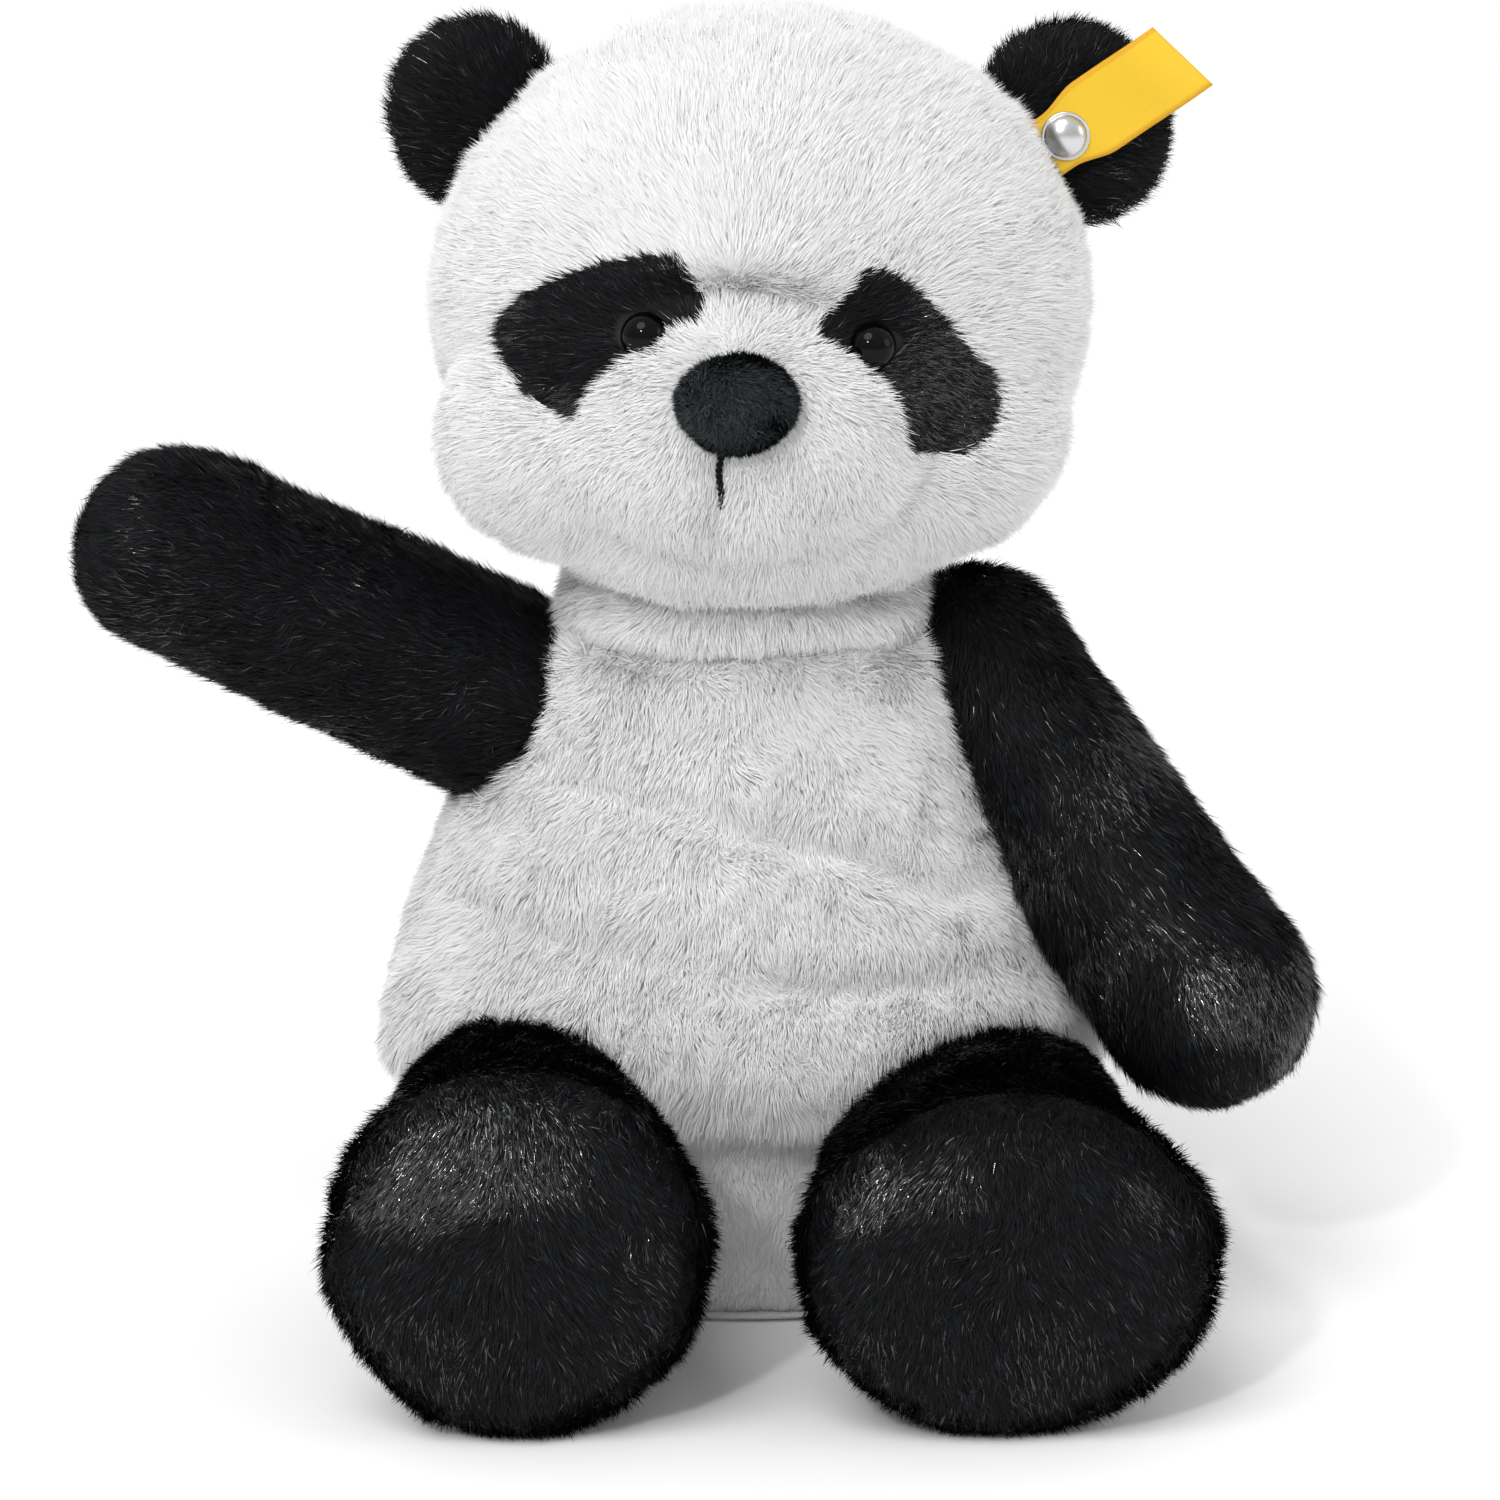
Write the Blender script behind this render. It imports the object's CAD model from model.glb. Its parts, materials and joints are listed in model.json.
"""A seated plush panda: sewn, stuffed skins with a real pile of mesh blades, glossy eyes, nose pad,
stitched mouth, and a woven label under a domed rivet. Metres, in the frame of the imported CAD."""

import json
from math import asin, cos, pi, radians, sin

import bpy
import numpy as np
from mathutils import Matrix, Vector


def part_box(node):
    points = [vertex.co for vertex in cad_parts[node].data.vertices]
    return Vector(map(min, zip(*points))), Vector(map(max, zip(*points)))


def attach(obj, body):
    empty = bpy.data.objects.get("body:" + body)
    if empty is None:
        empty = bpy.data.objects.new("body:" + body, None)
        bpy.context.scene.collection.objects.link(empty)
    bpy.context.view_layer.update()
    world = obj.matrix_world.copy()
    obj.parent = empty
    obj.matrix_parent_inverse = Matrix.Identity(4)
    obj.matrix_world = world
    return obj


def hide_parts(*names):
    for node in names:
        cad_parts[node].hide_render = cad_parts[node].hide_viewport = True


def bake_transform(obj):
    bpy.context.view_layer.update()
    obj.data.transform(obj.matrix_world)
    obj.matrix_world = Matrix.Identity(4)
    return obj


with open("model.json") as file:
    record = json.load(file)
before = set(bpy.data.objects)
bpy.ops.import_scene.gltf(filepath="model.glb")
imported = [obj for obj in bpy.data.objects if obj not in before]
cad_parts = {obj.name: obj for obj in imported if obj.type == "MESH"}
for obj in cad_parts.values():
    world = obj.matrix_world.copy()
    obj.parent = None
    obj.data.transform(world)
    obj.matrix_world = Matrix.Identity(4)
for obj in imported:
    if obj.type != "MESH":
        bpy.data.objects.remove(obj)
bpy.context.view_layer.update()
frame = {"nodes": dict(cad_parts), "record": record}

MM = 0.001
joints = {joint["name"]: joint for joint in frame["record"]["behaviour"]["joints"]}
rng = np.random.default_rng(11)
FUR_SHARE, FUR_WIDE = ((1.0, 1.0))

# --- camera ---------------------------------------------------------------------------------------
CAMERA_TARGET = Vector((1, 0, 110)) * MM
CAMERA_DISTANCE, CAMERA_ELEVATION, CAMERA_LENS = 1.0, radians(14), 116.4


def make_camera():
    """The camera in front of the toy, a little above it."""
    data = bpy.data.cameras.new("camera")
    data.lens, data.sensor_width = CAMERA_LENS, 36
    camera = bpy.data.objects.new("camera", data)
    bpy.context.scene.collection.objects.link(camera)
    back = Vector((0, -cos(CAMERA_ELEVATION), sin(CAMERA_ELEVATION)))
    camera.location = CAMERA_TARGET + back * CAMERA_DISTANCE
    camera.rotation_euler = (pi / 2 - CAMERA_ELEVATION, 0, 0)
    bpy.context.scene.camera = camera


make_camera()


# --- small geometry helpers -----------------------------------------------------------------------
def unit(v):
    """Vectors scaled to length 1."""
    return v / np.maximum(np.linalg.norm(v, axis=-1, keepdims=True), 1e-12)


def point(*xyz):
    """A point given in millimetres, as an array in metres."""
    return np.array(xyz, float) * MM


def smoothstep(value, low, high):
    """0 below low, 1 above high and smooth between."""
    t = np.clip((value - low) / (high - low), 0, 1)
    return t * t * (3 - 2 * t)


def hill(value, middle, wide):
    """1 at the middle, fading to 0 over about the given width on both sides."""
    return np.exp(-(((value - middle) / wide) ** 2))


def noise_field(seed, size, channels=3):
    """A smooth random field of vectors between -1 and 1, with features of the given size in metres."""
    cells = 24
    lattice = np.random.default_rng(seed).uniform(-1, 1, (cells, cells, cells, channels))

    def at(points):
        q = points / size
        cell = np.floor(q).astype(int)
        t = q - cell
        t = t * t * (3 - 2 * t)
        total = 0
        for corner in np.ndindex(2, 2, 2):
            weight = np.prod(np.where(corner, t, 1 - t), axis=1)
            index = (cell + corner) % cells
            total = total + weight[:, None] * lattice[index[:, 0], index[:, 1], index[:, 2]]
        return total

    return at


def add_mesh(name, verts, faces):
    """A mesh object in the scene."""
    mesh = bpy.data.meshes.new(name)
    mesh.from_pydata(np.asarray(verts).tolist(), [], [list(map(int, f)) for f in faces])
    mesh.update()
    obj = bpy.data.objects.new(name, mesh)
    bpy.context.scene.collection.objects.link(obj)
    return obj


def rings_mesh(rings):
    """Vertices and faces of a closed surface through rings of points, with a point at each end."""
    rings = np.asarray(rings)
    count, around = rings.shape[:2]
    verts = np.vstack([rings.reshape(-1, 3), rings[0].mean(0), rings[-1].mean(0)])
    k = np.arange(around)
    nxt = (k + 1) % around
    faces = []
    for level in range(count - 1):
        low, high = level * around, (level + 1) * around
        faces += np.stack([low + k, low + nxt, high + nxt, high + k], 1).tolist()
    first, last = count * around, count * around + 1
    faces += [[first, int(b), int(a)] for a, b in zip(k, nxt)]
    base = (count - 1) * around
    faces += [[last, int(base + a), int(base + b)] for a, b in zip(k, nxt)]
    return verts, faces


def ellipsoid_form(centre, half, rings=40, around=72):
    """An ellipsoid as rings round Z."""
    levels = []
    for k in range(1, rings):
        polar = pi * k / rings
        angle = 2 * pi * np.arange(around) / around
        x = sin(polar) * np.cos(angle) * half[0]
        y = sin(polar) * np.sin(angle) * half[1]
        z = np.full(around, -cos(polar) * half[2])
        levels.append(np.stack([x, y, z], 1) + centre)
    return rings_mesh(levels)


ACROSS = np.array([1.0, 0, 0])


def turned_form(start, along, profile, around=64, side=None):
    """A surface turned about a line: profile holds (distance along it, radius) pairs in metres."""
    along = unit(np.asarray(along, float))
    side = unit(np.cross(along, [0, 0, 1])) if side is None else side
    up = np.cross(side, along)
    angle = 2 * pi * np.arange(around) / around
    levels = []
    for distance, radius in profile:
        ring = np.cos(angle)[:, None] * side + np.sin(angle)[:, None] * up
        levels.append(start + along * distance + ring * radius)
    return rings_mesh(levels)


def joined(name, forms):
    """One object holding several forms."""
    verts, faces, base = [], [], 0
    for form_verts, form_faces in forms:
        verts.append(form_verts)
        faces += [[base + int(i) for i in face] for face in form_faces]
        base += len(form_verts)
    return add_mesh(name, np.vstack(verts), faces)


def shade_smooth(obj):
    """Smooth shading on every face."""
    obj.data.polygons.foreach_set("use_smooth", np.ones(len(obj.data.polygons), bool))


def bake_modifiers(obj):
    """Replaces the mesh of obj by what its modifiers make of it."""
    graph = bpy.context.evaluated_depsgraph_get()
    mesh = bpy.data.meshes.new_from_object(obj.evaluated_get(graph))
    obj.modifiers.clear()
    obj.data = mesh
    mesh.name = obj.name
    return obj


def fused(name, forms, voxel, smoothing):
    """Overlapping forms grown into one smooth closed skin."""
    obj = joined(name, forms)
    remesh = obj.modifiers.new("remesh", "REMESH")
    remesh.mode, remesh.voxel_size = "VOXEL", voxel * MM
    smooth = obj.modifiers.new("smooth", "SMOOTH")
    smooth.factor, smooth.iterations = 0.5, smoothing
    bake_modifiers(obj)
    shade_smooth(obj)
    return obj


def vertices(obj):
    """The vertices of a mesh as an array."""
    co = np.empty(len(obj.data.vertices) * 3)
    obj.data.vertices.foreach_get("co", co)
    return co.reshape(-1, 3)


def set_vertices(obj, co):
    """Moves the vertices of a mesh."""
    obj.data.vertices.foreach_set("co", co.ravel())
    obj.data.update()


def vertex_normals(obj):
    """The vertex normals of a mesh as an array."""
    normals = np.empty(len(obj.data.vertices) * 3)
    obj.data.vertex_normals.foreach_get("vector", normals)
    return normals.reshape(-1, 3)


# --- materials ------------------------------------------------------------------------------------
def principled(name, colour, roughness, **values):
    """A material with plain values on its shader."""
    material = bpy.data.materials.new(name)
    material.use_nodes = True
    shader = material.node_tree.nodes["Principled BSDF"]
    shader.inputs["Base Color"].default_value = (*colour, 1)
    shader.inputs["Roughness"].default_value = roughness
    for key, value in values.items():
        shader.inputs[key.replace("_", " ")].default_value = value
    return material


def mottled(name, dark, light, scale, roughness, bump=0.0, bump_distance=0.0005):
    """A cloth material whose colour wanders between two tones, with a fine knitted bump."""
    material = principled(name, dark, roughness)
    tree = material.node_tree
    nodes, links = tree.nodes, tree.links
    shader = nodes["Principled BSDF"]
    place = nodes.new("ShaderNodeTexCoord")
    noise = nodes.new("ShaderNodeTexNoise")
    noise.inputs["Scale"].default_value = scale
    noise.inputs["Detail"].default_value = 4
    ramp = nodes.new("ShaderNodeValToRGB")
    ramp.color_ramp.elements[0].position, ramp.color_ramp.elements[1].position = 0.35, 0.65
    ramp.color_ramp.elements[0].color = (*dark, 1)
    ramp.color_ramp.elements[1].color = (*light, 1)
    links.new(place.outputs["Object"], noise.inputs["Vector"])
    links.new(noise.outputs["Fac"], ramp.inputs["Fac"])
    links.new(ramp.outputs["Color"], shader.inputs["Base Color"])
    if bump:
        relief = nodes.new("ShaderNodeBump")
        relief.inputs["Strength"].default_value = bump
        relief.inputs["Distance"].default_value = bump_distance
        links.new(noise.outputs["Fac"], relief.inputs["Height"])
        links.new(relief.outputs["Normal"], shader.inputs["Normal"])
    return material


def strand_set(name, tones, roughness, **values):
    """The few tones that the strands of one pile have."""
    return [
        principled(f"{name}_{k}", tone, rough, **values)
        for k, (tone, rough) in enumerate(zip(tones, roughness))
    ]


white_strands = strand_set(
    "white_strand",
    [
        (0.865, 0.865, 0.866),
        (0.85, 0.852, 0.857),
        (0.885, 0.885, 0.882),
        (0.82, 0.824, 0.832),
        (0.855, 0.852, 0.846),
    ],
    [0.85, 0.9, 0.8, 0.95, 0.9],
    Specular_IOR_Level=0.1,
)
black_strands = strand_set(
    "black_strand",
    [
        (0.0025, 0.0027, 0.0033),
        (0.0035, 0.0038, 0.0048),
        (0.006, 0.0066, 0.008),
        (0.013, 0.015, 0.018),
    ],
    [0.65, 0.6, 0.52, 0.42],
    Specular_IOR_Level=0.14,
)
black_strands.append(principled("black_strand_glint", (0.008, 0.009, 0.011), 0.13, Specular_IOR_Level=1.0))
# the share of the strands that have each tone
nose_strands = strand_set(
    "nose_strand",
    [(0.010, 0.013, 0.014), (0.020, 0.026, 0.028), (0.045, 0.055, 0.058)],
    [0.75, 0.7, 0.65],
    Specular_IOR_Level=0.2,
)
BLACK_SHARES = (0.34, 0.29, 0.22, 0.13, 0.02)
WHITE_SHARES = (0.3, 0.25, 0.2, 0.15, 0.1)
NOSE_SHARES = (0.4, 0.4, 0.2)

white_skin = mottled("white_backing", (0.79, 0.79, 0.795), (0.86, 0.86, 0.86), 900, 0.9, 0.4)
black_skin = mottled("black_backing", (0.003, 0.0035, 0.004), (0.006, 0.007, 0.008), 900, 0.8, 0.4)
nose_skin = mottled("nose_backing", (0.006, 0.008, 0.008), (0.014, 0.018, 0.018), 1600, 0.8, 0.5)
seat_cloth = mottled("seat_cloth", (0.74, 0.74, 0.74), (0.85, 0.85, 0.84), 1400, 0.9, 0.6)
eye_gloss = principled("eye_gloss", (0.001, 0.001, 0.0012), 0.05, Specular_IOR_Level=0.14)
thread_black = mottled("mouth_thread", (0.002, 0.002, 0.0024), (0.008, 0.008, 0.009), 2500, 0.8, 0.4, 0.0002)
thread_black.node_tree.nodes["Principled BSDF"].inputs["Specular IOR Level"].default_value = 0.15
thread_white = mottled("seam_thread", (0.7, 0.7, 0.7), (0.85, 0.85, 0.84), 2500, 0.6, 0.4, 0.0002)
rivet_metal = principled("rivet_metal", (0.62, 0.62, 0.63), 0.27, Metallic=1.0)


# --- pile -----------------------------------------------------------------------------------------
turbulence_broad = noise_field(3, 11 * MM)
turbulence_fine = noise_field(4, 4.2 * MM)
turbulence_tuft = noise_field(5, 2.3 * MM)
sheen_field = noise_field(8, 19 * MM)
BLADES_PER_PIECE = 95000
BROAD_WANDER, FINE_WANDER, TUFT_WANDER, LONE_WANDER = 0.4, 0.36, 0.2, 0.2
BEND_AT = 0.55  # where a blade bends, as a share of its length
GLINT_SCATTER = 0.28  # how much the shine wanders on the strands that glint
LOWEST_TIP = 0.4 * MM  # no blade reaches down to the floor


def scatter(skin, per_mm2):
    """Random points spread evenly over a skin, with its smooth normals there."""
    skin.data.calc_loop_triangles()
    tri = np.empty(len(skin.data.loop_triangles) * 3, int)
    skin.data.loop_triangles.foreach_get("vertices", tri)
    tri = tri.reshape(-1, 3)
    co, normals = vertices(skin), vertex_normals(skin)
    a, b, c = co[tri[:, 0]], co[tri[:, 1]], co[tri[:, 2]]
    area = np.linalg.norm(np.cross(b - a, c - a), axis=1) / 2
    count = int(area.sum() * 1e6 * per_mm2 * FUR_SHARE)
    total = np.cumsum(area)
    pick = np.searchsorted(total, rng.uniform(0, total[-1], count))
    u, v = rng.uniform(0, 1, count), rng.uniform(0, 1, count)
    over = u + v > 1
    u[over], v[over] = 1 - u[over], 1 - v[over]
    w = 1 - u - v
    points = a[pick] * w[:, None] + b[pick] * u[:, None] + c[pick] * v[:, None]
    first, second, third = (normals[tri[pick, k]] for k in range(3))
    return points, unit(first * w[:, None] + second * u[:, None] + third * v[:, None])


def blades(roots, normals, flow, length, width, lie, ruffle=1.0):
    """Corners and shading normals of one bent, pointed blade at each root.

    flow is the way the pile is brushed, lie how far it lies down, from 0 upright to 1 flat, and ruffle
    how far the blades stray from the flow.
    """
    count = len(roots)
    broad, fine, tuft = turbulence_broad(roots), turbulence_fine(roots), turbulence_tuft(roots)
    wander = ruffle * (BROAD_WANDER * broad + FINE_WANDER * fine + TUFT_WANDER * tuft)
    wander = wander + rng.normal(0, LONE_WANDER, (count, 3))
    brushed = flow + wander
    brushed = unit(brushed - normals * (brushed * normals).sum(1, keepdims=True))
    tilt = np.clip(lie + 0.11 * fine[:, :1] + rng.normal(0, 0.05, (count, 1)), 0.05, 0.95) * (pi / 2)
    first = unit(normals * np.cos(tilt) + brushed * np.sin(tilt))
    tip_tilt = np.minimum(tilt * 1.35 + 0.1, pi / 2 * 1.02)
    second = unit(normals * np.cos(tip_tilt) + brushed * np.sin(tip_tilt))
    reach = (length * np.clip(1 + 0.22 * broad[:, 0] + rng.normal(0, 0.12, count), 0.45, 1.5))[:, None]
    middle = roots + first * reach * BEND_AT
    tip = middle + second * reach * (1 - BEND_AT)
    tip[:, 2] = np.maximum(tip[:, 2], LOWEST_TIP)
    middle[:, 2] = np.maximum(middle[:, 2], LOWEST_TIP + 0.1 * MM)
    flat = unit(np.cross(first, normals) + rng.normal(0, 0.35, (count, 3)))
    flat = unit(flat - first * (flat * first).sum(1, keepdims=True))
    half = flat * (FUR_WIDE * width * rng.uniform(0.75, 1.25, count))[:, None] / 2
    face = np.cross(flat, first)
    face = face * np.sign((face * normals).sum(1, keepdims=True) + 1e-9)
    shade = unit(0.85 * normals + 0.3 * face)
    corners = np.stack([roots, middle + half, tip, middle - half], 1)
    shades = np.stack([shade, unit(shade + 0.25 * flat), shade, unit(shade - 0.25 * flat)], 1)
    turned_over = (np.cross(corners[:, 1] - roots, corners[:, 3] - roots) * normals).sum(1) < 0
    return corners, shades, turned_over


def pile(name, built, strands, shares, glint=None):
    """Mesh objects of all the blades of one pile, none of them very large.

    glint is how likely each blade is to have the last tone.
    """
    corners, shades, turned_over = built
    count = len(corners)
    order = rng.permutation(count)
    parts = max(1, -(-count // BLADES_PER_PIECE))
    objects = []
    for k in range(parts):
        pick = order[k::parts]
        n = len(pick)
        base = np.arange(n)[:, None] * 4
        up = np.array([0, 1, 3, 1, 2, 3])
        down = np.array([0, 3, 1, 1, 3, 2])
        loops = base + np.where(turned_over[pick][:, None], down, up)
        mesh = bpy.data.meshes.new(name)
        mesh.vertices.add(n * 4)
        mesh.vertices.foreach_set("co", corners[pick].ravel())
        mesh.loops.add(n * 6)
        mesh.loops.foreach_set("vertex_index", loops.ravel().astype(np.int32))
        mesh.polygons.add(n * 2)
        mesh.polygons.foreach_set("loop_start", np.arange(0, n * 6, 3, dtype=np.int32))
        tone = rng.choice(len(strands), n, p=shares)
        shade = shades[pick]
        if glint is not None:
            shiny = rng.uniform(0, 1, n) < glint[pick]
            tone[shiny] = len(strands) - 1
            shade[shiny] = unit(shade[shiny] + rng.normal(0, GLINT_SCATTER, (int(shiny.sum()), 4, 3)))
        mesh.polygons.foreach_set("material_index", np.repeat(tone, 2).astype(np.int32))
        mesh.polygons.foreach_set("use_smooth", np.ones(n * 2, bool))
        for strand in strands:
            mesh.materials.append(strand)
        mesh.update(calc_edges=True)
        normal = mesh.attributes.new("custom_normal", "FLOAT_VECTOR", "POINT")
        normal.data.foreach_set("vector", shade.astype(np.float32).ravel())
        label = name if parts == 1 else f"{name}_{k + 1}"
        obj = bpy.data.objects.new(label, mesh)
        bpy.context.scene.collection.objects.link(obj)
        objects.append(obj)
    return objects


# --- shapes of the stuffed pieces -----------------------------------------------------------------
# how far the backing of each piece lies under the CAD surface, in mm
SINK = {"head": 2.0, "torso": 2.0, "arm": 1.0, "leg": 0.3, "ear": 1.2}
HEAD_CENTRE = point(3, -8, 205)
HEAD_HALF = point(64.2 - SINK["head"], 54.5 - SINK["head"], 56.5 - SINK["head"])
MUZZLE_CENTRE = point(-1, -50, 187)
MUZZLE_HALF = point(36 - SINK["head"], 22 - SINK["head"], 26 - SINK["head"])
NOSE_TIP = point(-1.4, -73, 194.5)
# height, half widths along X and Y, and where the middle lies along Y, in mm
TORSO_LEVELS = (
    (1.0, 48, 33, 0),
    (2.5, 56, 41, 0),
    (12, 65, 46, -1),
    (35, 72, 50.5, -2),
    (60, 73.5, 52, -3),
    (85, 67, 48.5, -3),
    (108, 57, 43, -4),
    (128, 45.5, 37.5, -5),
    (142, 38, 35, -7),
    (152, 34, 32, -8),
    (164, 26, 24, -8),
)
# folds of the torso's front: x and z of both ends, depth and width, in mm
FOLDS = (
    ((-34, 139.5, 34, 139.5), 4.4, 3.3),
    ((-37, 114, -8, 109), 1.8, 4.2),
    ((-10, 109, 24, 99), 2.2, 4.6),
    ((22, 99, 44, 89), 2.2, 4.4),
    ((2, 76, 42, 72), 1.8, 4.2),
    ((-50, 86, -14, 80), 1.2, 4.4),
)
ARMS = {
    "left": {"paw": point(93, -36, 67.5), "radii": (18, 20.5), "blunt": 0.96},
    "right": {"paw": point(-116.5, -10, 155), "radii": (21, 19.5), "blunt": 0.84},
}
EAR_CENTRES = {"left": point(64.5, 2, 238), "right": point(-53.5, 2, 240.5)}
EAR_HALVES = {"left": point(19, 8.5, 20), "right": point(16, 8.5, 18.5)}
SOLE_EDGE = 8  # radius of the rounded edge of a sole, in mm
SEAM_SHARE = 0.9  # where the seam of a sole lies, as a share of its radius
LEGS = {
    "left": {"sole": point(50, -103, 34.5), "radii": (27, 35.5), "section": (1.1, 0.94)},
    "right": {"sole": point(-43.5, -103, 37), "radii": (27, 35.5), "section": (1.0, 1.0)},
}
rivet_low, rivet_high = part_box("ear_rivet_cap")
RIVET = np.array([(rivet_low.x + rivet_high.x) / 2, rivet_low.y, (rivet_low.z + rivet_high.z) / 2])
for side in ("left", "right"):
    ARMS[side]["root"] = np.array(joints[f"{side}_shoulder"]["pos_m"])
    LEGS[side]["root"] = np.array(joints[f"{side}_hip"]["pos_m"])


def inside_ellipsoid(points, centre, half):
    """How far inside an ellipsoid points are: 1 at its middle, 0 on it, negative outside."""
    return 1 - np.linalg.norm((points - centre) / half, axis=1)


def along_line(points, start, end):
    """Distance along the line from start to end, and distance from it."""
    way = unit(end - start)
    distance = (points - start) @ way
    return distance, np.linalg.norm(points - start - distance[:, None] * way, axis=1)


def room_of(points, limb, end):
    """Negative where points lie inside a limb."""
    length = np.linalg.norm(limb[end] - limb["root"])
    distance, off = along_line(points, limb["root"], limb[end])
    share = np.clip(distance / length, 0, 1)
    small, large = (radius * MM for radius in limb["radii"])
    radius = small + (large - small) * share
    beyond = distance - share * length
    return np.hypot(off, beyond) - radius


def make_torso_skin():
    """The pear-shaped torso with its side seams, its folds and the hollows that the limbs press in."""
    heights = np.concatenate([np.linspace(1.0, 12, 9), np.linspace(14, 164, 76)])
    table = np.array(TORSO_LEVELS, float)
    half_x, half_y, middle = (np.interp(heights, table[:, 0], table[:, k]) for k in (1, 2, 3))
    around = 120
    angle = 2 * pi * np.arange(around) / around
    levels = []
    for z, hx, hy, cy in zip(heights, half_x - SINK["torso"], half_y - SINK["torso"], middle):
        levels.append(np.stack([hx * np.cos(angle), cy + hy * np.sin(angle), np.full(around, z)], 1) * MM)
    skin = fused("torso_skin", [rings_mesh(levels)], 2.2, 14)
    co, normals = vertices(skin), vertex_normals(skin)
    x, y, z = co.T / MM
    front = smoothstep(-normals[:, 1], 0.1, 0.6)
    dent = np.zeros(len(co))
    for (x0, z0, x1, z1), depth, wide in FOLDS:
        way = np.array([x1 - x0, z1 - z0])
        reach = np.hypot(*way)
        way = way / reach
        s = (x - x0) * way[0] + (z - z0) * way[1]
        off = -(x - x0) * way[1] + (z - z0) * way[0] + np.sin(s / 9)
        fade = smoothstep(s, -8, 8) * (1 - smoothstep(s, reach - 8, reach + 8))
        groove = hill(off, 0, wide)
        ridge = 0.45 * hill(off, 1.7 * wide, wide)
        dent += front * fade * depth * (groove - ridge)
    side_seam = hill(y, -2, 2.2) * smoothstep(z, 8, 20) * (1 - smoothstep(z, 130, 145))
    low_front = (1 - smoothstep(z, 36, 49)) * smoothstep(z, 2, 14)
    belly = hill(z, 60, 13)
    dent += 1.3 * side_seam + front * (3.6 * low_front - 3.0 * belly)
    co -= normals * (dent * MM)[:, None]
    lumps = noise_field(21, 0.026)(co)
    co += normals * (lumps[:, :1] * 0.9 * MM * smoothstep(z, 4, 20)[:, None])
    limbs = [(arm, "paw", 26) for arm in ARMS.values()] + [(leg, "sole", 46) for leg in LEGS.values()]
    for limb, end, steps in limbs:
        inward = unit(np.stack([-co[:, 0], 4 * MM - co[:, 1], np.zeros(len(co))], 1))
        for _ in range(steps):
            close = room_of(co, limb, end) < 0
            co[close] += inward[close] * MM
    co[:, 2] = np.maximum(co[:, 2], 1.0 * MM)
    set_vertices(skin, co)
    soften = skin.modifiers.new("soften", "SMOOTH")
    soften.factor, soften.iterations = 0.5, 2
    return bake_modifiers(skin)


def mound(points):
    """Where points of the face lie on the muzzle mound, seen from the front: 1 at its edge, 0 inside."""
    x = np.abs(points[:, 0] / MM + 1) / 37
    z = points[:, 2] / MM - 186
    z = np.where(z > 0, z / 27, z / 34)
    return (x**1.8 + np.abs(z) ** 1.8) ** (1 / 1.8)


def make_head_skin():
    """The head: round, a little wider than tall, with cheeks, a muzzle mound and a brow above it."""
    forms = [
        ellipsoid_form(HEAD_CENTRE, HEAD_HALF, 60, 110),
        ellipsoid_form(MUZZLE_CENTRE, MUZZLE_HALF, 40, 80),
        ellipsoid_form(point(-27, -30, 183), point(30, 24, 24)),
        ellipsoid_form(point(30, -28, 183), point(30, 24, 24)),
        ellipsoid_form(point(0, -30, 170), point(37, 27, 19)),
        ellipsoid_form(point(1, -10, 160), point(38, 33, 14)),
    ]
    skin = fused("head_skin", forms, 1.9, 10)
    co, normals = vertices(skin), vertex_normals(skin)
    lumps = noise_field(22, 0.024)(co)
    co += normals * (lumps[:, :1] * 0.9 * MM)
    x, z = co[:, 0] / MM, co[:, 2] / MM
    front = smoothstep(-normals[:, 1], 0.2, 0.7)
    mouth = hill(x, -4.6, 3.2) * smoothstep(z, 164, 170) * (1 - smoothstep(z, 184, 190))
    ring = mound(co)
    crease = hill(ring, 1.03, 0.08) * smoothstep(z, 176, 188)
    middle = hill(x, 2, 14)
    brow = hill(ring, 1.25, 0.1) * smoothstep(z, 200, 210)
    dent = front * (2.6 * mouth + (0.5 + 2.9 * middle) * crease - 1.6 * brow * middle)
    co -= normals * (dent * MM)[:, None]
    set_vertices(skin, co)
    return skin


def capsule_profile(small, large, length, blunt, steps=14):
    """(distance, radius) pairs of two balls and the cone between them; blunt flattens the far ball."""
    lean = asin((large - small) / length)
    start = [(-small * cos(a), small * sin(a)) for a in np.linspace(0.06, pi / 2 - lean, steps)]
    end = [(length + blunt * large * cos(a), large * sin(a)) for a in np.linspace(pi / 2 + lean, 0.06, steps)]
    middle = []
    for share in np.linspace(0, 1, 12)[1:-1]:
        middle.append(tuple(np.array(start[-1]) * (1 - share) + np.array(end[0]) * share))
    return start + middle + end


def make_arm_skin(side):
    """An arm, with a shallow seam along each edge."""
    arm = ARMS[side]
    small, large = ((radius - SINK["arm"]) * MM for radius in arm["radii"])
    way = arm["paw"] - arm["root"]
    length = np.linalg.norm(way)
    profile = capsule_profile(small, large, length, arm["blunt"])
    skin = fused(f"{side}_arm_skin", [turned_form(arm["root"], way, profile)], 1.9, 5)
    co, normals = vertices(skin), vertex_normals(skin)
    edge = unit(np.cross(unit(way), [0, -1, 0]))
    seam = hill(normals @ np.cross(unit(way), edge), 0, 0.14)
    lumps = noise_field(31 if side == "left" else 32, 0.02)(co)
    co += normals * ((lumps[:, 0] * 1.1 - 0.9 * seam) * MM)[:, None]
    set_vertices(skin, co)
    return skin


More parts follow.
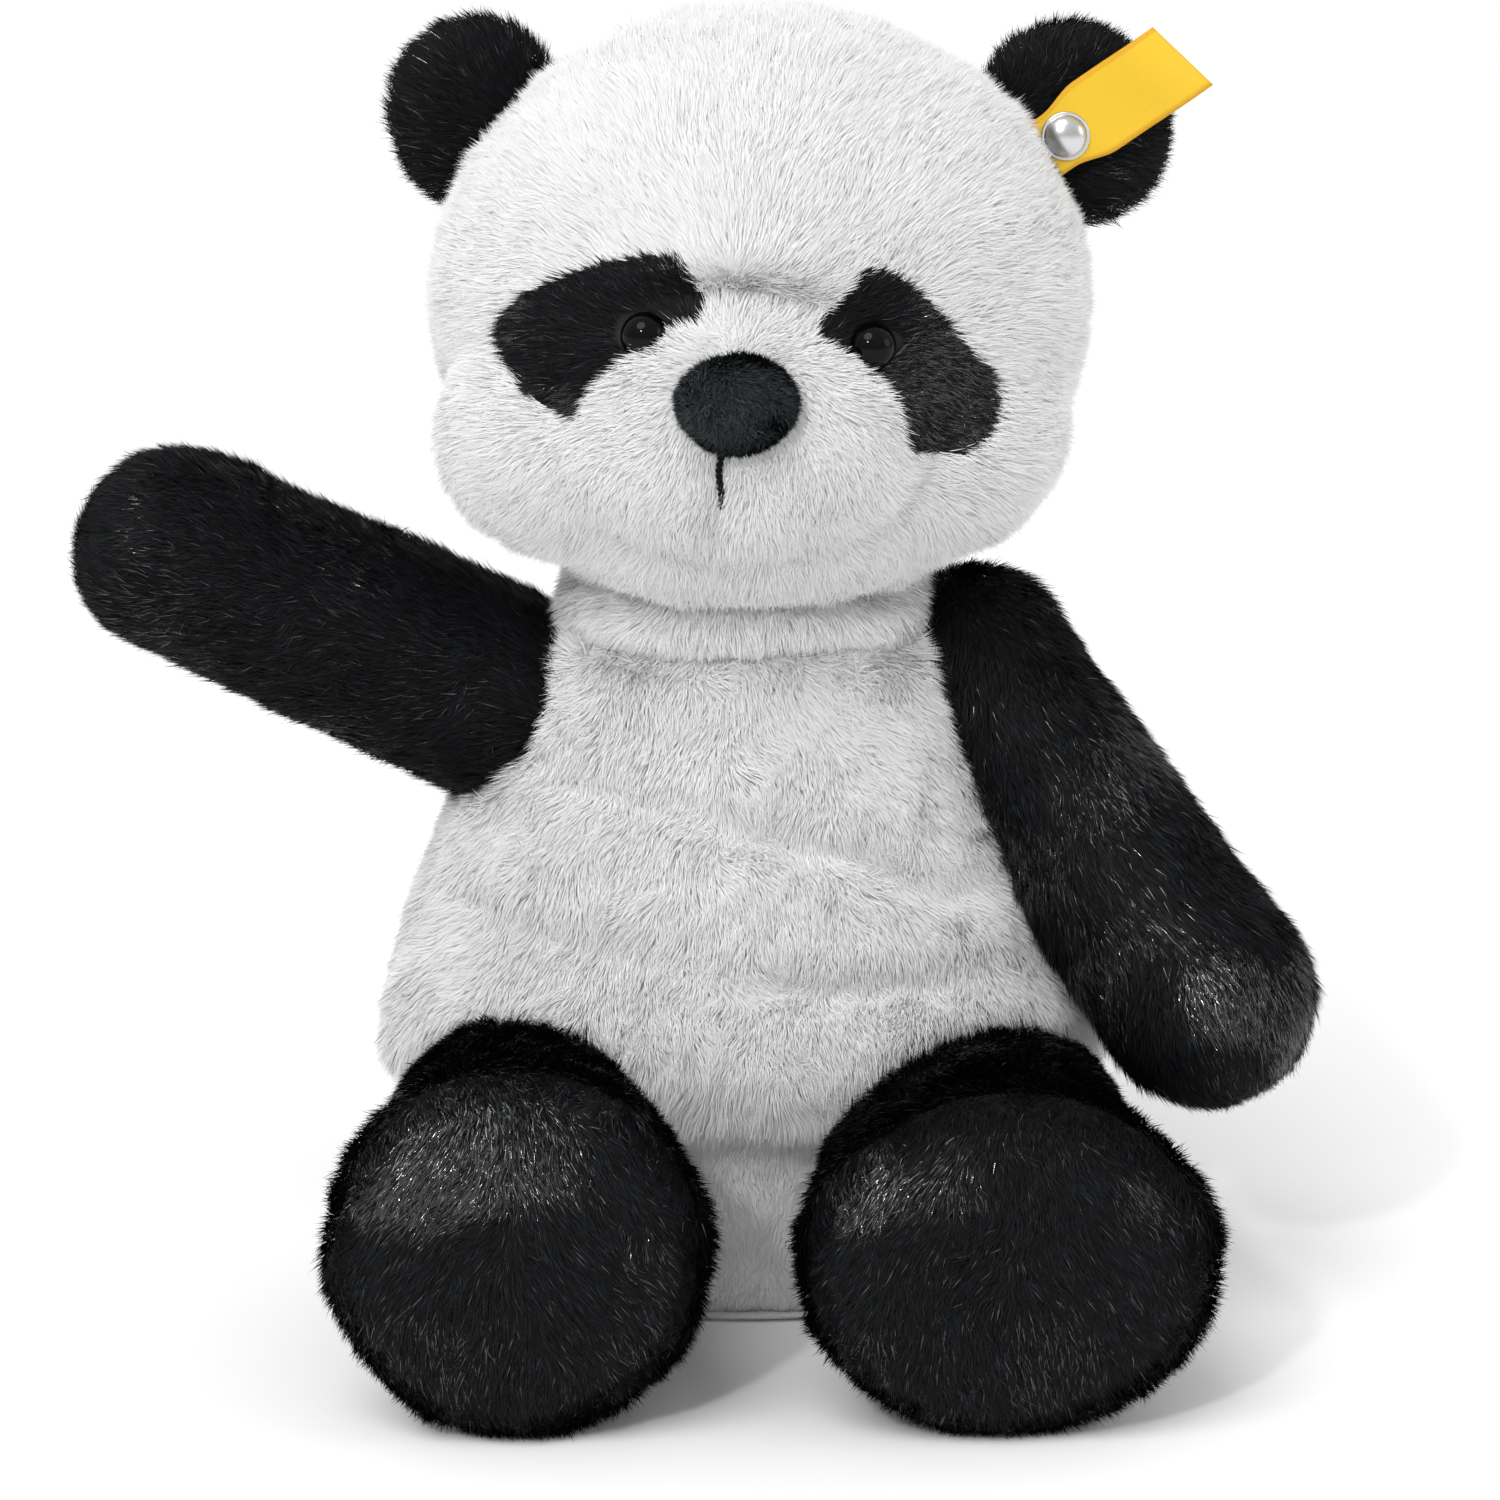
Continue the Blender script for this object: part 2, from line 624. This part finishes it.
def make_leg_skin(side):
    """A leg and its round sole, with the seam between them."""
    leg = LEGS[side]
    ball, rim = ((radius - SINK["leg"]) * MM for radius in leg["radii"])
    way = leg["sole"] - leg["root"]
    length = np.linalg.norm(way)
    start = [(-ball * cos(a), ball * sin(a)) for a in np.linspace(0.06, pi / 2 - 0.12, 14)]
    tube = [(length * s, ball + (rim - ball) * s**2.6) for s in np.linspace(0.08, 0.86, 13)]
    edge = SOLE_EDGE * MM
    turn = [(length - 0.8 * edge + edge * sin(a), rim - edge + edge * cos(a)) for a in np.linspace(0, 1.3, 8)]
    last, rest = turn[-1]
    dome = [(last + 5.0 * MM * cos(a), rest * sin(a)) for a in np.linspace(pi / 2 - 0.1, 0.05, 12)]
    skin = fused(f"{side}_leg_skin", [turned_form(leg["root"], way, start + tube + turn + dome)], 2.0, 5)
    co = vertices(skin)
    wide, tall = leg["section"]
    co = leg["root"] + (co - leg["root"]) * np.array([wide, 1, tall])
    set_vertices(skin, co)
    normals = vertex_normals(skin)
    lumps = noise_field(41 if side == "left" else 42, 0.015)(co)
    co += normals * (lumps[:, :1] * 1.1 * MM)
    co[:, 2] = np.maximum(co[:, 2], 1.2 * MM)
    set_vertices(skin, co)
    return skin


def make_ear_skin(side):
    """An ear: a rounded pad, a little hollow in front."""
    centre, half = EAR_CENTRES[side], EAR_HALVES[side]
    form = ellipsoid_form(centre, half - point(SINK["ear"], 1.6, SINK["ear"]), 30, 60)
    skin = fused(f"{side}_ear_skin", [form], 1.5, 4)
    co = vertices(skin)
    off = (co - centre) / half
    hollow = np.exp(-(off[:, 0] ** 2 + off[:, 2] ** 2) / 0.35) * (co[:, 1] < centre[1])
    co[:, 1] += hollow * 2.2 * MM
    set_vertices(skin, co)
    return skin


torso_skin = make_torso_skin()
head_skin = make_head_skin()
arm_skins = {side: make_arm_skin(side) for side in ARMS}
leg_skins = {side: make_leg_skin(side) for side in LEGS}
ear_skins = {side: make_ear_skin(side) for side in EAR_CENTRES}
for skin in (torso_skin, head_skin):
    skin.data.materials.append(white_skin)
for skin in (*arm_skins.values(), *leg_skins.values(), *ear_skins.values()):
    skin.data.materials.append(black_skin)

# --- eye patches ----------------------------------------------------------------------------------
PATCHES = {
    "right": {"centre": (-26.2, 205), "half": (19.5, 11.6), "slope": radians(24)},
    "left": {"centre": (29.6, 198.8), "half": (19.5, 11), "slope": radians(-47)},
}
EYES = {"right": (-18.9, 205.6), "left": (24.1, 203.6)}
EYE_RADIUS = 4.7
EYE_CLEARING = 3.6  # no pile grows this close to the middle of an eye


def patch_depth(points, side):
    """How far inside an eye patch points on the face are: 1 in the middle, 0 on its edge."""
    patch = PATCHES[side]
    x = points[:, 0] / MM - patch["centre"][0]
    z = points[:, 2] / MM - patch["centre"][1]
    c, s = cos(patch["slope"]), sin(patch["slope"])
    u, v = (x * c + z * s) / patch["half"][0], (-x * s + z * c) / patch["half"][1]
    wobble = 0.05 * np.sin(3 * np.arctan2(v, u) + 1)
    inside = 1 - (np.abs(u) ** 2.8 + np.abs(v) ** 2.8) ** (1 / 2.8) + wobble
    inside = np.minimum(inside, (mound(points) - 0.8) * 2)
    return np.where(points[:, 1] < HEAD_CENTRE[1] - 0.01, inside, -1)


def patch_skin(side):
    """The black cloth of an eye patch, laid over the head."""
    co, normals = vertices(head_skin), vertex_normals(head_skin)
    depth = patch_depth(co, side)
    chosen = [p.vertices[:] for p in head_skin.data.polygons if min(depth[i] for i in p.vertices) > 0.02]
    used = sorted({i for face in chosen for i in face})
    index = {old: new for new, old in enumerate(used)}
    lifted = co[used] + normals[used] * 0.35 * MM
    obj = add_mesh(f"{side}_eye_patch_skin", lifted, [[index[i] for i in face] for face in chosen])
    thick = obj.modifiers.new("cloth", "SOLIDIFY")
    thick.thickness, thick.offset = 0.3 * MM, 1
    bake_modifiers(obj)
    shade_smooth(obj)
    obj.data.materials.append(black_skin)
    return obj


patch_skins = {side: patch_skin(side) for side in PATCHES}


# --- pile on every piece --------------------------------------------------------------------------
# blades per mm2, length and width in mm, how far the pile lies down, and how ruffled it is
PILE = {
    "arm": (9.0, 5.8, 0.2, 0.56, 1.2),
    "leg": (8.0, 5.4, 0.2, 0.55, 1.2),
    "sole": (8.0, 4.6, 0.2, 0.55, 1.2),
    "ear": (9.0, 5.6, 0.2, 0.55, 1.3),
    "nose": (26.0, 2.9, 0.2, 0.4, 1.6),
}
HEAD_PER_MM2, TORSO_PER_MM2, TORSO_RUFFLE = 12.0, 12.5, 1.7
FINE_WIDTH = 0.17 * MM
# how likely a blade is to glint, where the pile catches the light
PATCH_GLINT = 0.35
ARM_GLINT = {"left": 0.75, "right": 0.12}
LEG_GLINT, HIGH_LEG_GLINT = 0.1, 0.6


def even_blades(kind, roots, normals, flow):
    """Blades of one kind of pile, all about as long and lying down as far."""
    _, length, width, lie, ruffle = PILE[kind]
    count = len(roots)
    lengths = np.full(count, length * MM)
    return blades(roots, normals, flow, lengths, width * MM, np.full((count, 1), lie), ruffle)


def keep_only(roots, normals, wanted):
    """The roots that a condition keeps, and their normals."""
    return roots[wanted], normals[wanted]


def downward(count):
    """The way down, for each of count roots."""
    return np.tile([0.0, 0.0, -1.0], (count, 1))


def sheen(roots):
    """Patches where the pile is brushed so that many strands catch the light."""
    return smoothstep(sheen_field(roots)[:, 0], -0.05, 0.4)


def head_pile():
    """White pile brushed away from the nose, and black pile on the eye patches."""
    roots, normals = scatter(head_skin, HEAD_PER_MM2)
    buried = inside_ellipsoid(roots, point(0, -6, 140), point(34, 30, 19)) > 0
    eye_clear = np.ones(len(roots), bool)
    for x, z in EYES.values():
        outer = x + np.sign(x) * 0.9
        off = np.hypot(roots[:, 0] - outer * MM, roots[:, 2] - (z - 0.3) * MM)
        eye_clear &= (off > EYE_CLEARING * MM) | (roots[:, 1] > -30 * MM)
    nose_off = (roots - point(-1.4, -72, 194.5)) / point(10.5, 9, 8.3)
    under_nose = np.linalg.norm(nose_off, axis=1) < 1
    roots, normals = keep_only(roots, normals, ~buried & eye_clear & ~under_nose)
    away = unit(roots - NOSE_TIP - point(0, 12, 0))
    behind = smoothstep(roots[:, 1:2], -10 * MM, 30 * MM)
    flow = unit(away * (1 - behind) + (0.25 + behind) * downward(len(roots)))
    muzzle = np.exp(-((np.linalg.norm((roots - MUZZLE_CENTRE) / MUZZLE_HALF, axis=1) / 1.25) ** 6))
    near_face = hill(np.linalg.norm(roots - NOSE_TIP, axis=1), 0, 26 * MM)
    length = 5.8 - 1.2 * muzzle - 1.4 * near_face
    depth = np.maximum(patch_depth(roots, "left"), patch_depth(roots, "right"))
    black = depth > 0
    lie = np.where(black, 0.52, 0.38)
    length = np.where(black, 4.8, length)
    left_side = roots[:, 0] > 2 * MM
    made = []
    for name, chosen, strands, shares in (
        ("head_fur", ~black, white_strands, WHITE_SHARES),
        ("left_eye_patch_fur", black & left_side, black_strands, BLACK_SHARES),
        ("right_eye_patch_fur", black & ~left_side, black_strands, BLACK_SHARES),
    ):
        lengths, lies = length[chosen] * MM, lie[chosen][:, None]
        built = blades(roots[chosen], normals[chosen], flow[chosen], lengths, FINE_WIDTH, lies)
        shine = None if strands is white_strands else PATCH_GLINT * sheen(roots[chosen])
        made.append(pile(name, built, strands, shares, shine))
    return made


def yoke(roots):
    """Where the black cloth of the shoulders covers the torso."""
    seam = np.interp(roots[:, 2] / MM, (100, 114, 128, 140, 154), (60, 49, 41, 35, 32))
    return (np.abs(roots[:, 0]) / MM > seam) & (roots[:, 2] > 100 * MM)


def torso_pile():
    """Pile brushed down the torso, black on the shoulders, short low down; none on the flat seat."""
    roots, normals = scatter(torso_skin, TORSO_PER_MM2)
    off_the_seat = (normals[:, 2] > -0.75) & (roots[:, 2] > 3 * MM)
    wanted = off_the_seat & (roots[:, 2] < 158 * MM)
    for limb in (*ARMS.values(), *LEGS.values()):
        wanted &= np.linalg.norm(roots - limb["root"], axis=1) > (limb["radii"][0] - 1) * MM
    roots, normals = keep_only(roots, normals, wanted)
    z = roots[:, 2] / MM
    sideways = np.zeros_like(roots)
    sideways[:, 0] = 2.8 * roots[:, 0]
    flow = unit(downward(len(roots)) + sideways)
    belly = np.maximum(smoothstep(z, 40, 54), smoothstep(roots[:, 1], -10 * MM, 10 * MM))
    collar = smoothstep(z, 138, 150)
    fringe = hill(z, 54, 8) * (roots[:, 1] < 0)
    length = (3.0 + 1.9 * belly + 2.4 * fringe + 1.2 * collar) * MM
    lie = 0.56 - 0.14 * belly
    black = yoke(roots)
    made = []
    for name, chosen, strands, shares in (
        ("torso_fur", ~black, white_strands, WHITE_SHARES),
        ("shoulder_fur", black, black_strands, BLACK_SHARES),
    ):
        lengths, lies = length[chosen], lie[chosen][:, None]
        built = blades(roots[chosen], normals[chosen], flow[chosen], lengths, FINE_WIDTH, lies, TORSO_RUFFLE)
        made.append(pile(name, built, strands, shares))
    return made


def arm_pile(side):
    """Black pile brushed towards the paw."""
    arm = ARMS[side]
    roots, normals = scatter(arm_skins[side], PILE["arm"][0])
    outside = np.abs(roots[:, 0]) > 34 * MM
    roots, normals = keep_only(roots, normals, outside)
    flow = np.tile(unit(arm["paw"] - arm["root"]), (len(roots), 1)) + 0.3 * downward(len(roots))
    built = even_blades("arm", roots, normals, flow)
    outer = smoothstep(np.linalg.norm(roots - arm["root"], axis=1) / MM, 18, 40)
    return pile(f"{side}_arm_fur", built, black_strands, BLACK_SHARES, ARM_GLINT[side] * outer * sheen(roots))


def leg_pile(side):
    """Black pile on a leg, brushed to the foot, and shorter pile on its sole, brushed down."""
    leg = LEGS[side]
    roots, normals = scatter(leg_skins[side], PILE["leg"][0])
    squashed = np.array([1 / leg["section"][0], 1, 1 / leg["section"][1]])
    plain = leg["root"] + (roots - leg["root"]) * squashed
    sole = leg["root"] + (leg["sole"] - leg["root"]) * squashed
    way = unit(sole - leg["root"])
    length = np.linalg.norm(sole - leg["root"])
    distance, off = along_line(plain, leg["root"], sole)
    seam_radius = leg["radii"][1] * MM * SEAM_SHARE
    foot = distance > length - SOLE_EDGE * MM
    on_sole = foot & (off < seam_radius)
    seam = foot & (np.abs(off - seam_radius) < 0.45 * MM)
    wanted = (distance > -16 * MM) & ~seam
    roots, normals, on_sole = roots[wanted], normals[wanted], on_sole[wanted]
    outward = unit((roots - leg["sole"]) * np.array([1, 0, 1]))
    flow_sole = unit(0.45 * outward + 0.8 * downward(len(roots)))
    flow_leg = np.tile(way, (len(roots), 1)) + 0.2 * downward(len(roots))
    made = []
    for kind, chosen, flow in (("leg", ~on_sole, flow_leg), ("sole", on_sole, flow_sole)):
        built = even_blades(kind, roots[chosen], normals[chosen], flow[chosen])
        high = smoothstep(roots[chosen][:, 2] / MM, 34, 52)
        shine = (LEG_GLINT + HIGH_LEG_GLINT * high) * sheen(roots[chosen])
        made.append(pile(f"{side}_{kind}_fur", built, black_strands, BLACK_SHARES, shine))
    return made


def ear_pile(side):
    """Black pile fanning out over an ear."""
    centre = EAR_CENTRES[side]
    roots, normals = scatter(ear_skins[side], PILE["ear"][0])
    inside = inside_ellipsoid(roots, HEAD_CENTRE, HEAD_HALF) > 0.03
    if side == "left":
        from_rivet = np.hypot(roots[:, 0] - RIVET[0], roots[:, 2] - RIVET[2])
        inside |= (from_rivet < 4.4 * MM) & (roots[:, 1] < centre[1])
    roots, normals = keep_only(roots, normals, ~inside)
    flow = unit(roots - centre + 0.35 * (centre - HEAD_CENTRE))
    built = even_blades("ear", roots, normals, flow)
    return pile(f"{side}_ear_fur", built, black_strands, BLACK_SHARES)


head_fur, left_patch_fur, right_patch_fur = head_pile()
torso_fur, shoulder_fur = torso_pile()
arm_fur = {side: arm_pile(side) for side in ARMS}
leg_fur = {side: leg_pile(side) for side in LEGS}
ear_fur = {side: ear_pile(side) for side in EAR_CENTRES}


# --- nose, mouth and eyes -------------------------------------------------------------------------
def make_nose():
    """A soft pad, wider at the top, under very short pile."""
    centre = point(-1.4, -71.5, 194.5)
    half = point(9.7, 6.2, 7.7)
    verts, faces = ellipsoid_form(centre, half, 36, 72)
    off = (verts - centre) / half
    verts = verts.copy()
    verts[:, 0] = centre[0] + (verts[:, 0] - centre[0]) * (1 + 0.10 * off[:, 2])
    skin = add_mesh("nose_skin", verts, faces)
    shade_smooth(skin)
    skin.data.materials.append(nose_skin)
    roots, normals = scatter(skin, PILE["nose"][0])
    roots, normals = keep_only(roots, normals, roots[:, 1] < centre[1] + 2 * MM)
    flow = unit(roots - centre + point(0, -2, 1))
    built = even_blades("nose", roots, normals, flow)
    return skin, pile("nose_fur", built, nose_strands, NOSE_SHARES)


def skin_y(x, z):
    """How far forward the head's backing reaches at a place on the face."""
    co = vertices(head_skin)
    near = (np.hypot(co[:, 0] - x, co[:, 2] - z) < 3 * MM) & (co[:, 1] < HEAD_CENTRE[1])
    return co[near, 1].mean()


STRAND_RADIUS, STRAND_OFFSET, STRAND_TWIST = 0.42 * MM, 0.34 * MM, 0.85


def make_mouth():
    """One line of thick black thread of two twisted strands, sunk in the pile under the nose."""
    low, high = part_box("mouth_stitch")
    x = (low.x + high.x) / 2
    heights = np.linspace(low.z - 0.5 * MM, high.z + 1.5 * MM, 40)
    path = np.array([[x + 0.3 * MM * sin(k / 5), skin_y(x, z) - 2.6 * MM, z] for k, z in enumerate(heights)])
    path[:, 1] = np.convolve(np.pad(path[:, 1], 2, "edge"), np.ones(5) / 5, "valid")
    path[:3, 1] += np.array([2.2, 1.1, 0.3]) * MM
    turn = 2 * pi * np.arange(12) / 12
    section = np.stack([np.cos(turn), np.sin(turn), np.zeros(12)], 1) * STRAND_RADIUS
    forms = []
    for strand in (0, pi):
        rings = []
        for k, p in enumerate(path):
            twist = k * STRAND_TWIST + strand
            rings.append(p + np.array([cos(twist), sin(twist), 0]) * STRAND_OFFSET + section)
        forms.append(rings_mesh(rings))
    obj = joined("mouth_thread", forms)
    shade_smooth(obj)
    obj.data.materials.append(thread_black)
    return obj


def make_eye(side):
    """A glossy dome on a short collar, sunk in the pile."""
    x, z = EYES[side]
    low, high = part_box(f"{side}_eye")
    front = low.y + 1.8 * MM
    radius = EYE_RADIUS * MM
    profile = [(radius * (1 - cos(a)) * 0.95, radius * sin(a)) for a in np.linspace(0.03, pi / 2, 18)]
    profile += [(radius * 1.15, radius * 0.97), (radius * 1.3, radius * 0.8)]
    start = np.array([x * MM, front, z * MM])
    obj = add_mesh(f"{side}_eye_dome", *turned_form(start, (0, 1, 0), profile, 48, ACROSS))
    shade_smooth(obj)
    obj.data.materials.append(eye_gloss)
    return obj


nose, nose_fur = make_nose()
mouth = make_mouth()
eyes = {side: make_eye(side) for side in EYES}


# --- label and rivet ------------------------------------------------------------------------------
def make_rivet():
    """A domed cap with a rolled edge, and its shank."""
    radius = (rivet_high.x - rivet_low.x) / 2
    high, shank = 2.6 * MM, 1.6 * MM
    profile = [(high * (1 - cos(a)), radius * 0.86 * sin(a)) for a in np.linspace(0.04, pi / 2 * 0.93, 16)]
    profile += [(high * 0.93, radius * 0.88), (high * 0.86, radius * 0.93), (high * 0.9, radius * 0.985)]
    profile += [(high * 1.02, radius), (high * 1.16, radius * 0.97), (high * 1.18, radius * 0.5)]
    profile += [(high * 1.2, shank), (rivet_high.y - rivet_low.y - 0.2 * MM, shank)]
    obj = add_mesh("ear_rivet", *turned_form(RIVET, (0, 1, 0), profile, 56, ACROSS))
    shade_smooth(obj)
    obj.data.materials.append(rivet_metal)
    return obj


LABEL_SLOPE = radians(34.6)
LABEL_WAY = np.array([cos(LABEL_SLOPE), 0, sin(LABEL_SLOPE)])
LABEL_ACROSS = np.array([-sin(LABEL_SLOPE), 0, cos(LABEL_SLOPE)])
# along the label from the middle of the rivet, and its widths, in mm
LABEL_START, LABEL_CREASE, LABEL_LONG = -5.0, 7.9, 29.6
LABEL_WIDE, LABEL_NARROW, LABEL_SKEW = 16.2, 12.2, 3.6


def label_weave():
    """Yellow satin weave: fine ribs across, a darker woven edge on both sides."""
    material = principled("label_weave", (0.93, 0.55, 0.02), 0.55, Specular_IOR_Level=0.4)
    nodes, links = material.node_tree.nodes, material.node_tree.links
    shader = nodes["Principled BSDF"]
    uv = nodes.new("ShaderNodeUVMap")
    uv.uv_map = "UVMap"
    split = nodes.new("ShaderNodeSeparateXYZ")
    links.new(uv.outputs["UV"], split.inputs["Vector"])
    ribs = nodes.new("ShaderNodeTexWave")
    ribs.wave_type, ribs.bands_direction = "BANDS", "X"
    ribs.inputs["Scale"].default_value = 22
    ribs.inputs["Distortion"].default_value = 0.6
    ribs.inputs["Detail"].default_value = 2
    links.new(uv.outputs["UV"], ribs.inputs["Vector"])
    edge = nodes.new("ShaderNodeMath")
    edge.operation = "SUBTRACT"
    links.new(split.outputs["Y"], edge.inputs[0])
    edge.inputs[1].default_value = 0.5
    away = nodes.new("ShaderNodeMath")
    away.operation = "ABSOLUTE"
    links.new(edge.outputs[0], away.inputs[0])
    border = nodes.new("ShaderNodeMapRange")
    border.inputs["From Min"].default_value, border.inputs["From Max"].default_value = 0.42, 0.45
    links.new(away.outputs[0], border.inputs["Value"])
    mix = nodes.new("ShaderNodeMix")
    mix.data_type = "RGBA"
    mix.inputs["A"].default_value = (0.96, 0.61, 0.028, 1)
    mix.inputs["B"].default_value = (0.88, 0.46, 0.016, 1)
    links.new(border.outputs["Result"], mix.inputs["Factor"])
    shade = nodes.new("ShaderNodeMix")
    shade.data_type, shade.blend_type = "RGBA", "MULTIPLY"
    shade.inputs["Factor"].default_value = 0.25
    links.new(mix.outputs["Result"], shade.inputs["A"])
    links.new(ribs.outputs["Color"], shade.inputs["B"])
    links.new(shade.outputs["Result"], shader.inputs["Base Color"])
    relief = nodes.new("ShaderNodeBump")
    relief.inputs["Strength"].default_value = 0.5
    relief.inputs["Distance"].default_value = 0.15 * MM
    links.new(ribs.outputs["Color"], relief.inputs["Height"])
    links.new(relief.outputs["Normal"], shader.inputs["Normal"])
    return material


def make_label():
    """The woven strip: narrow under the rivet, wider beyond it, and a little curled."""
    steps, across = 44, 20
    top, faces, uvs = [], [], []
    label_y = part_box("label_tab")[0].y + 0.4 * MM
    for i in range(steps + 1):
        s = LABEL_START + (LABEL_LONG - LABEL_START) * i / steps
        widen = smoothstep(s, -2.0, 7.0)
        wide = LABEL_NARROW + (LABEL_WIDE - LABEL_NARROW) * widen
        curl = 1.6 * smoothstep(s, 8, 30) * sin(max(0.0, s - 8) / 22 * pi * 0.9)
        for j in range(across + 1):
            t = j / across - 0.5
            cup = 0.5 * (t * 2) ** 2 * smoothstep(s, 8, 20)
            skewed = s - LABEL_SKEW * (t + 0.5) * smoothstep(s, 8, 28)
            place = RIVET + LABEL_WAY * skewed * MM + LABEL_ACROSS * t * wide * MM
            top.append([place[0], label_y - (curl - cup) * MM, place[2]])
            uvs.append((i / steps * 2, j / across))
    for i in range(steps):
        for j in range(across):
            a = i * (across + 1) + j
            faces.append([a, a + across + 1, a + across + 2, a + 1])
    obj = add_mesh("ear_label", np.array(top), faces)
    layer = obj.data.uv_layers.new(name="UVMap")
    for loop in obj.data.loops:
        layer.data[loop.index].uv = uvs[loop.vertex_index]
    thick = obj.modifiers.new("weave", "SOLIDIFY")
    thick.thickness, thick.offset = 0.55 * MM, 0
    bake_modifiers(obj)
    shade_smooth(obj)
    obj.data.materials.append(label_weave())
    return obj


rivet = make_rivet()
ear_label = make_label()

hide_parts("torso_front_panel", "torso_back_panel", "torso_stuffing", "neck_band")
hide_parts("head_gusset", "head_left_panel", "head_right_panel", "muzzle_panel", "head_stuffing")
for obj in (torso_skin, *torso_fur, *shoulder_fur):
    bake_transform(obj)
for obj in (head_skin, *head_fur):
    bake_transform(obj)
for side, fur in (("left", left_patch_fur), ("right", right_patch_fur)):
    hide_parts(f"{side}_eye_patch")
    for obj in (patch_skins[side], *fur):
        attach(obj, "head")
    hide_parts(f"{side}_eye")
    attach(eyes[side], "head")
    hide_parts(f"{side}_arm_front_panel", f"{side}_arm_back_panel", f"{side}_arm_stuffing")
    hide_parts(f"{side}_leg_upper", f"{side}_leg_sole", f"{side}_leg_stuffing")
    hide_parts(f"{side}_ear_front", f"{side}_ear_back")
    for obj in (arm_skins[side], *arm_fur[side]):
        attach(obj, f"{side}_arm")
    for obj in (leg_skins[side], *leg_fur[side][0], *leg_fur[side][1]):
        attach(obj, f"{side}_leg")
    for obj in (ear_skins[side], *ear_fur[side]):
        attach(obj, f"{side}_ear")
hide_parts("nose")
for obj in (nose, *nose_fur):
    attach(obj, "head")
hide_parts("mouth_stitch")
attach(mouth, "head")
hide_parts("ear_rivet_cap")
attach(rivet, "left_ear")
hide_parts("label_tab", "label_flag")
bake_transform(ear_label)

CAD_FINISH = {
    "torso_base_panel": seat_cloth,
    "closing_stitches": thread_white,
    "ear_rivet_back": rivet_metal,
}
for node, material in CAD_FINISH.items():
    mesh = frame["nodes"][node].data
    mesh.materials.clear()
    mesh.materials.append(material)


# --- floor and light --------------------------------------------------------------------------------
def make_floor():
    """A wide pale floor."""
    floor = add_mesh("floor", [(-8, -6, 0), (8, -6, 0), (8, 14, 0), (-8, 14, 0)], [(0, 1, 2, 3)])
    floor.data.materials.append(principled("floor_paper", (0.97, 0.97, 0.97), 0.9, Specular_IOR_Level=0.1))


def make_light(name, kind, place, aim, size, power):
    """A soft lamp: a round panel, or a distant one whose size is an angle."""
    data = bpy.data.lights.new(name, kind)
    data.energy = power
    if kind == "AREA":
        data.shape, data.size = "DISK", size
    else:
        data.angle = radians(size)
    light = bpy.data.objects.new(name, data)
    bpy.context.scene.collection.objects.link(light)
    light.location = place
    light.rotation_euler = (Vector(aim) - Vector(place)).to_track_quat("-Z", "Y").to_euler()


def make_world():
    """A white studio: bright overhead, dimmer near the horizon."""
    world = bpy.data.worlds.new("studio")
    world.use_nodes = True
    nodes, links = world.node_tree.nodes, world.node_tree.links
    way = nodes.new("ShaderNodeTexCoord")
    split = nodes.new("ShaderNodeSeparateXYZ")
    links.new(way.outputs["Generated"], split.inputs["Vector"])
    height = nodes.new("ShaderNodeMapRange")
    height.inputs["From Min"].default_value, height.inputs["From Max"].default_value = 0.05, 0.6
    height.inputs["To Min"].default_value, height.inputs["To Max"].default_value = WORLD_LOW, WORLD_HIGH
    links.new(split.outputs["Z"], height.inputs["Value"])
    background = nodes["Background"]
    background.inputs["Color"].default_value = (1, 1, 1, 1)
    links.new(height.outputs["Result"], background.inputs["Strength"])
    bpy.context.scene.world = world


WORLD_LOW, WORLD_HIGH = 0.57, 0.8
make_floor()
make_light("key", "SUN", (-0.5, -0.9, 1.6), (0, 0, 0.12), 34, 1.15)
make_light("softbox", "AREA", (-0.4, -1.15, 0.85), (0, 0, 0.15), 0.1, 5)
make_light("side", "AREA", (1.3, -0.35, 0.6), (0, 0, 0.15), 0.7, 2)
make_world()
bpy.context.scene.view_settings.view_transform = "Standard"
